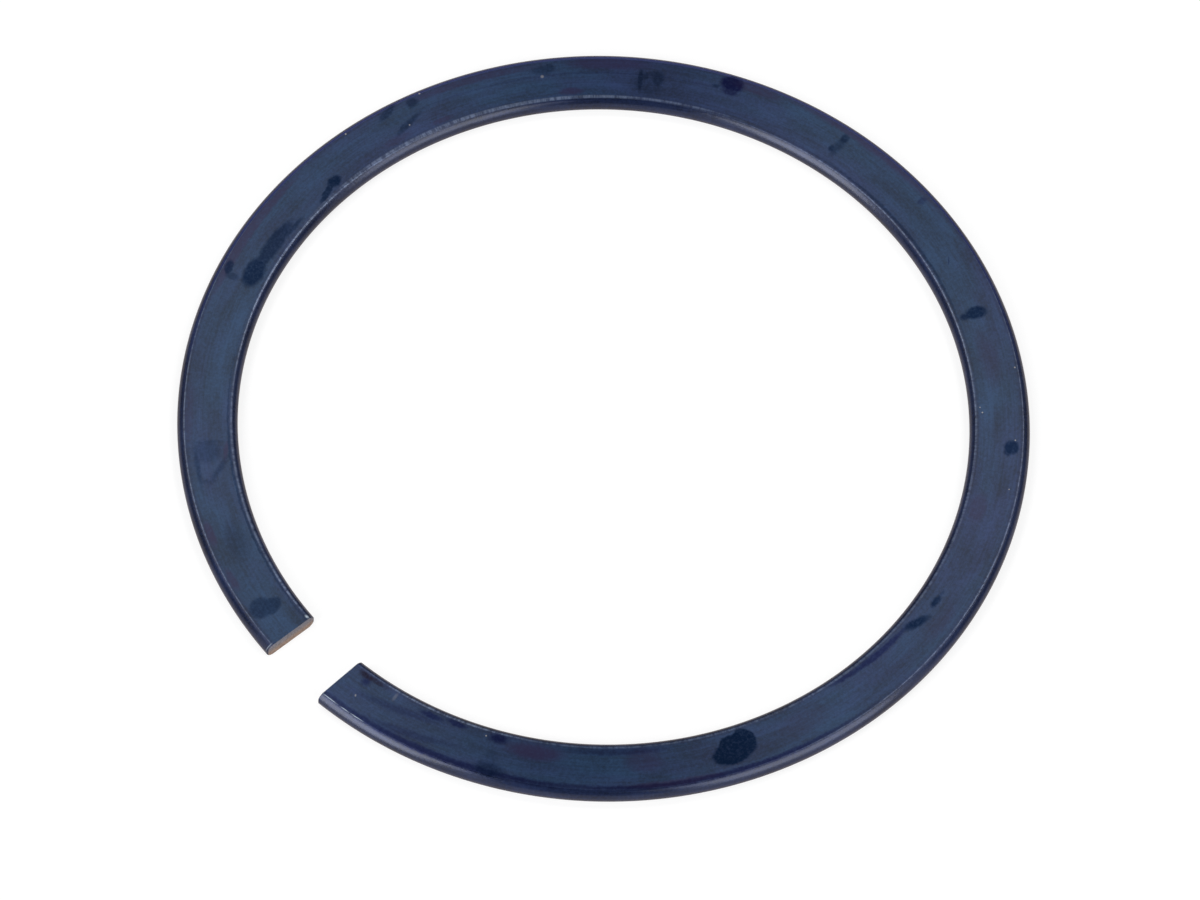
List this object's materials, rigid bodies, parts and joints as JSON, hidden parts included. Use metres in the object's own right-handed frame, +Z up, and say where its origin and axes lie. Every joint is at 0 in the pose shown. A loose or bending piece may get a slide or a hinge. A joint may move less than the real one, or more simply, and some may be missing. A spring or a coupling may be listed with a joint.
{
  "type": "circlip retaining ring",
  "caption": "Open circlip of flat spring-steel wire with rolled, convex edges and plain square-cut ends, which springs into a groove to hold a part on its shaft.",
  "frame": {"origin": "on the ring's axis, in the plane of the seating face it lies on", "axes": "+Z up along the ring's axis, -Y through the middle of the end gap, +X to the right seen from the gap"},
  "size_m": [0.09, 0.0898, 0.002],
  "materials": {
    "blued_steel": "spring steel with a satin blue-black tempering oxide, darker stains and bright rubbed edges"
  },
  "bodies": {
    "root": {"ring": "blued_steel"}
  },
  "joints": []
}
